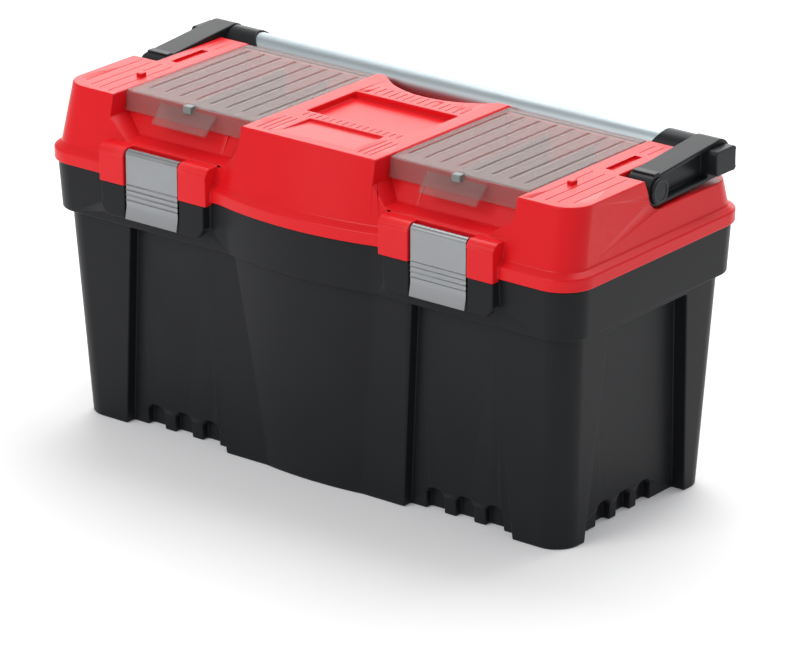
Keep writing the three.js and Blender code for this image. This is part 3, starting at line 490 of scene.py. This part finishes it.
def grip_tube():
    """The drawn tube of the grip, open through."""
    low, high = node_box("grip_tube")
    radius = (high.z - low.z) / 2
    centre = ((low.y + high.y) / 2, (low.z + high.z) / 2)
    wall = 1.6
    profile = [(low.x, radius - wall), (low.x, radius), (high.x, radius), (high.x, radius - wall)]
    settle(smooth(round_edges(lathe_x("grip_tube_drawn", profile, centre), 0.3, 2)), "grip_tube", TUBE)


def pins(name):
    """One side's steel pins and the two dividers of its bin."""
    for stem in ("hinge_pin_", "organizer_pin_", "latch_pin_"):
        settle(smooth(round_edges(cad_copy(stem + name, stem + name + "_drawn"), 0.3, 2)), stem + name, STEEL)
    for i in (1, 2):
        node = f"bin_divider_{name}_{i}"
        settle(smooth(round_edges(cad_copy(node, node + "_moulded"), 0.4, 2)), node, TRAY)


base()
lid()
tray()
grip_tube()
for name, side in SIDES.items():
    lid_details(name, side)
    organizer_lid(name, side)
    latch(name)
    handle(name, side)
    pins(name)


# ---- studio --------------------------------------------------------------------------------------
def studio_floor():
    """A wide sheet of matt white paper just under the object."""
    half_width, drop, fibre_size = 12, 0.2, 200  # half_width in metres, the others in mm
    bm = bmesh.new()
    bmesh.ops.create_grid(bm, x_segments=8, y_segments=8, size=half_width)
    floor = fill_mesh("studio_floor", bm)
    for vert in floor.data.vertices:
        vert.co.z = -drop * MM
    made = bpy.data.materials.new("matt_white_paper")
    made.use_nodes = True
    tree = made.node_tree
    tree.nodes.clear()
    place = add(tree, "ShaderNodeTexCoord").outputs["Object"]
    fibres = add(tree, "ShaderNodeTexNoise", {
        "Vector": place, "Scale": per_metre(fibre_size), "Detail": 2.0})
    colour = add(tree, "ShaderNodeMix", {
        "Factor": fibres.outputs["Fac"], "A": srgb("#F6F6F6"), "B": srgb("#FBFBFB")}, data_type="RGBA")
    shader = add(tree, "ShaderNodeBsdfPrincipled", {
        "Base Color": colour.outputs[2], "Roughness": 0.9, "Specular IOR Level": 0.1,
        "Emission Color": srgb("#F4F6FF"), "Emission Strength": 0.1})
    add(tree, "ShaderNodeOutputMaterial", {"Surface": shader.outputs["BSDF"]})
    floor.data.materials.append(made)


def softbox(name, place, target, size, power):
    """A white area light, in metres and watts, that the camera doesn't see."""
    data = bpy.data.lights.new(name, "AREA")
    data.shape = "RECTANGLE"
    data.size, data.size_y = size
    data.energy = power
    lamp = bpy.data.objects.new(name, data)
    lamp.location = place
    lamp.rotation_euler = (Vector(target) - Vector(place)).to_track_quat("-Z", "Y").to_euler()
    lamp.visible_camera = False
    bpy.context.scene.collection.objects.link(lamp)


def studio_light():
    """A pale room with soft light from above, from the front and from behind."""
    world = bpy.data.worlds.new("pale_room")
    bpy.context.scene.world = world
    world.use_nodes = True
    world.node_tree.nodes.clear()
    glow = add(world.node_tree, "ShaderNodeBackground", {"Color": srgb("#FFFFFF"), "Strength": 0.52})
    add(world.node_tree, "ShaderNodeOutputWorld", {"Surface": glow.outputs["Background"]})
    softbox("overhead_softbox", (-0.2, 1.0, 2.2), (0, 0, 0.2), (2.4, 1.6), 40)
    softbox("front_softbox", (-0.6, -2.5, 1.9), (0, 0, 0.15), (1.6, 1.2), 32)
    softbox("rear_glow", (-1.4, 2.6, 1.2), (0, 0, 0.3), (3.2, 1.4), 33)


def camera():
    """A long lens from the front right, a little above; back points from the aim to the camera."""
    azimuth, elevation = math.radians(38.112), math.radians(20.652)
    distance, lens, aim_right, aim_height = 4.5966, 229.78, 0.009865, 0.11693
    ahead = math.cos(elevation)
    back = Vector((math.sin(azimuth) * ahead, -math.cos(azimuth) * ahead, math.sin(elevation)))
    right = Vector((math.cos(azimuth), math.sin(azimuth), 0))
    data = bpy.data.cameras.new("view")
    data.lens = lens
    data.sensor_width = 36
    data.clip_end = 50
    taken = bpy.data.objects.new("view", data)
    taken.location = Vector((0, 0, aim_height)) + right * aim_right + back * distance
    taken.rotation_euler = (-back).to_track_quat("-Z", "Y").to_euler()
    bpy.context.scene.collection.objects.link(taken)
    bpy.context.scene.camera = taken


studio_floor()
studio_light()
camera()
bpy.context.scene.view_settings.view_transform = "Standard"
